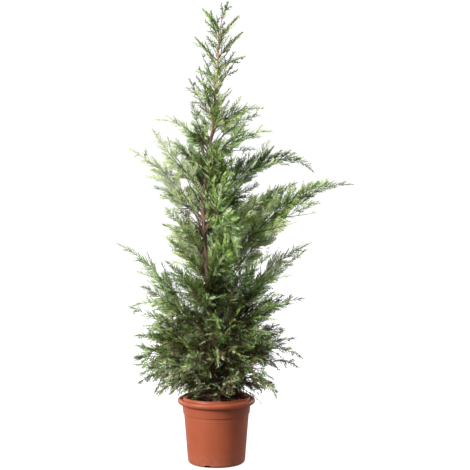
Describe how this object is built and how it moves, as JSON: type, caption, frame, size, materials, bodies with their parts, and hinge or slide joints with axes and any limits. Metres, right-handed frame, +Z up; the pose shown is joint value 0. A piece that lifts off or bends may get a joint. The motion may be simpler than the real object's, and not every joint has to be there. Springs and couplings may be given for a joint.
{
  "type": "potted leyland cypress",
  "caption": "Young leyland cypress with a narrow open crown of flat feathery sprays, standing in a round terracotta-coloured plastic nursery pot.",
  "frame": {"origin": "centre of the pot's flat underside, on the surface that it stands on", "axes": "+Z up along the pot's axis and the trunk, +X to the side of the longest bough, -Y to the viewer of the picture"},
  "size_m": [0.9156, 0.6681, 1.7731],
  "materials": {
    "terracotta_plastic": "satin moulded plastic, terracotta coloured",
    "potting_soil": "moist dark bark compost",
    "bark": "thin pinkish brown bark",
    "scale_leaves": "matt green scale leaves"
  },
  "bodies": {
    "root": {"bough_left_08": "bark", "bough_left_10": "bark", "bough_right_08": "bark", "bough_right_10": "bark", "bough_right_11": "bark", "bough_right_13": "bark", "foliage_back_01": "scale_leaves", "foliage_back_02": "scale_leaves", "foliage_back_03": "scale_leaves", "foliage_back_04": "scale_leaves", "foliage_back_05": "scale_leaves", "foliage_back_06": "scale_leaves", "foliage_back_07": "scale_leaves", "foliage_front_01": "scale_leaves", "foliage_front_02": "scale_leaves", "foliage_front_03": "scale_leaves", "foliage_front_04": "scale_leaves", "foliage_front_05": "scale_leaves", "foliage_front_06": "scale_leaves", "foliage_front_07": "scale_leaves", "foliage_front_08": "scale_leaves", "foliage_front_09": "scale_leaves", "foliage_leader": "scale_leaves", "foliage_left_01": "scale_leaves", "foliage_left_02": "scale_leaves", "foliage_left_03": "scale_leaves", "foliage_left_04": "scale_leaves", "foliage_left_05": "scale_leaves", "foliage_left_06": "scale_leaves", "foliage_left_07": "scale_leaves", "foliage_left_08": "scale_leaves", "foliage_left_09": "scale_leaves", "foliage_left_10": "scale_leaves", "foliage_left_11": "scale_leaves", "foliage_left_12": "scale_leaves", "foliage_left_13": "scale_leaves", "foliage_left_14": "scale_leaves", "foliage_left_15": "scale_leaves", "foliage_left_16": "scale_leaves", "foliage_right_01": "scale_leaves", "foliage_right_02": "scale_leaves", "foliage_right_03": "scale_leaves", "foliage_right_04": "scale_leaves", "foliage_right_05": "scale_leaves", "foliage_right_06": "scale_leaves", "foliage_right_07": "scale_leaves", "foliage_right_08": "scale_leaves", "foliage_right_09": "scale_leaves", "foliage_right_10": "scale_leaves", "foliage_right_11": "scale_leaves", "foliage_right_12": "scale_leaves", "foliage_right_13": "scale_leaves", "foliage_right_14": "scale_leaves", "foliage_right_15": "scale_leaves", "foliage_right_16": "scale_leaves", "foliage_right_17": "scale_leaves", "foliage_right_18": "scale_leaves", "pot": "terracotta_plastic", "soil": "potting_soil", "trunk": "bark"}
  },
  "joints": []
}
